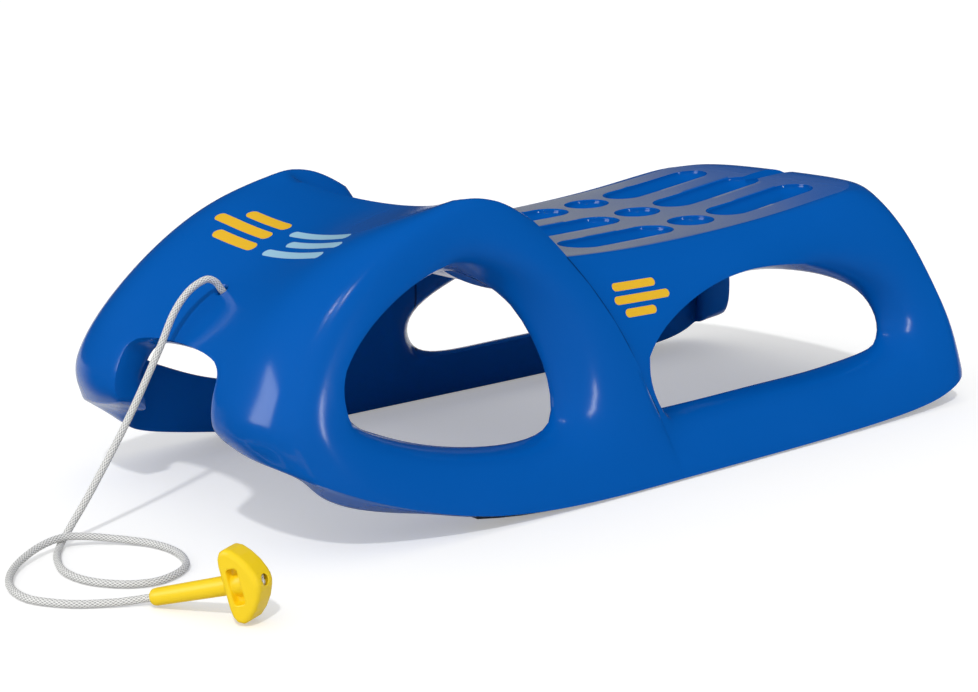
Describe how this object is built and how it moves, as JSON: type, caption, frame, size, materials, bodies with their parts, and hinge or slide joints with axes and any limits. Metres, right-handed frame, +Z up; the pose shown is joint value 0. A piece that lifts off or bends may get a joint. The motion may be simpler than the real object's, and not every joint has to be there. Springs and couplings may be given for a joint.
{
  "type": "snow sled",
  "caption": "One-seat moulded snow sled with raised hood, open sides, seat pockets, runner strips and a pull cord with grip.",
  "frame": {"origin": "on the ground under the middle of the sled, cord and grip left out", "axes": "+Z up, -Y towards the hood and the direction of travel, +X to the rider's left; the sled is mirrored across X = 0"},
  "size_m": [0.5331, 1.1471, 0.295],
  "materials": {
    "blue_plastic": "smooth moulded blue",
    "strip_steel": "plain rolled strip",
    "screw_steel": "plated",
    "cord_braid": "white braid with grey flecks",
    "knot_braid": "white braid with grey flecks",
    "yellow_plastic": "smooth moulded yellow"
  },
  "bodies": {
    "sled": {"sled_body": "blue_plastic", "runner_strip_left": "strip_steel", "runner_strip_right": "strip_steel", "strip_screw_left_1": "screw_steel", "strip_screw_left_2": "screw_steel", "strip_screw_left_3": "screw_steel", "strip_screw_right_1": "screw_steel", "strip_screw_right_2": "screw_steel", "strip_screw_right_3": "screw_steel", "pull_cord": "cord_braid", "cord_stop_knot": "knot_braid", "handle_knot": "knot_braid"},
    "handle": {"pull_handle": "yellow_plastic"}
  },
  "joints": [
    {"name": "handle_swivel", "type": "hinge", "parent": "sled", "child": "handle", "pos_m": [0.19095, -0.59763, 0.00855], "axis": [0.8782, 0.391, 0.2756], "continuous": true}
  ]
}
